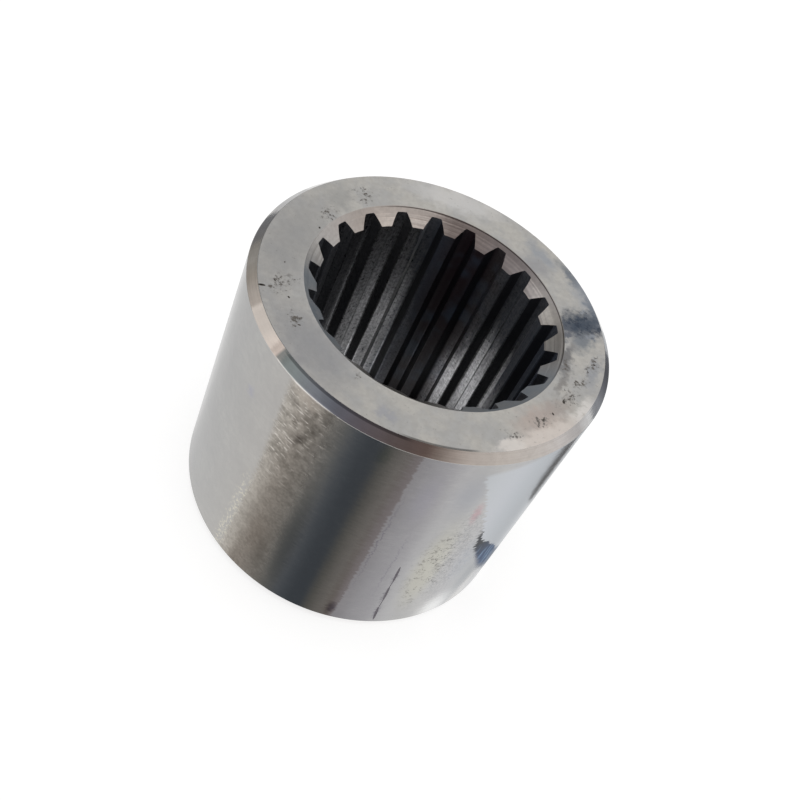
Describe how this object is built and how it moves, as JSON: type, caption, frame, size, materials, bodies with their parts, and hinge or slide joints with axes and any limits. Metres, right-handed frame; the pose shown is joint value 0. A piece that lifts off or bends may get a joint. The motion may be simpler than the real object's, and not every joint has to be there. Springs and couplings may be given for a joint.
{
  "type": "splined coupling sleeve",
  "caption": "Straight steel coupling sleeve with an involute spline through its bore, lead-in cones at both mouths and chamfered outer edges.",
  "frame": {"origin": "centre of the lower end face, on the bore's axis", "axes": "+Z runs along the bore, up from the end face that the sleeve stands on; a tooth space is centred on +Y and a tooth on -Y"},
  "size_m": [0.065, 0.065, 0.054],
  "materials": {
    "machined_steel": "turned and ground carbon steel, satin, with handling stains and small pits"
  },
  "bodies": {
    "root": {"splined_sleeve": "machined_steel"}
  },
  "joints": []
}
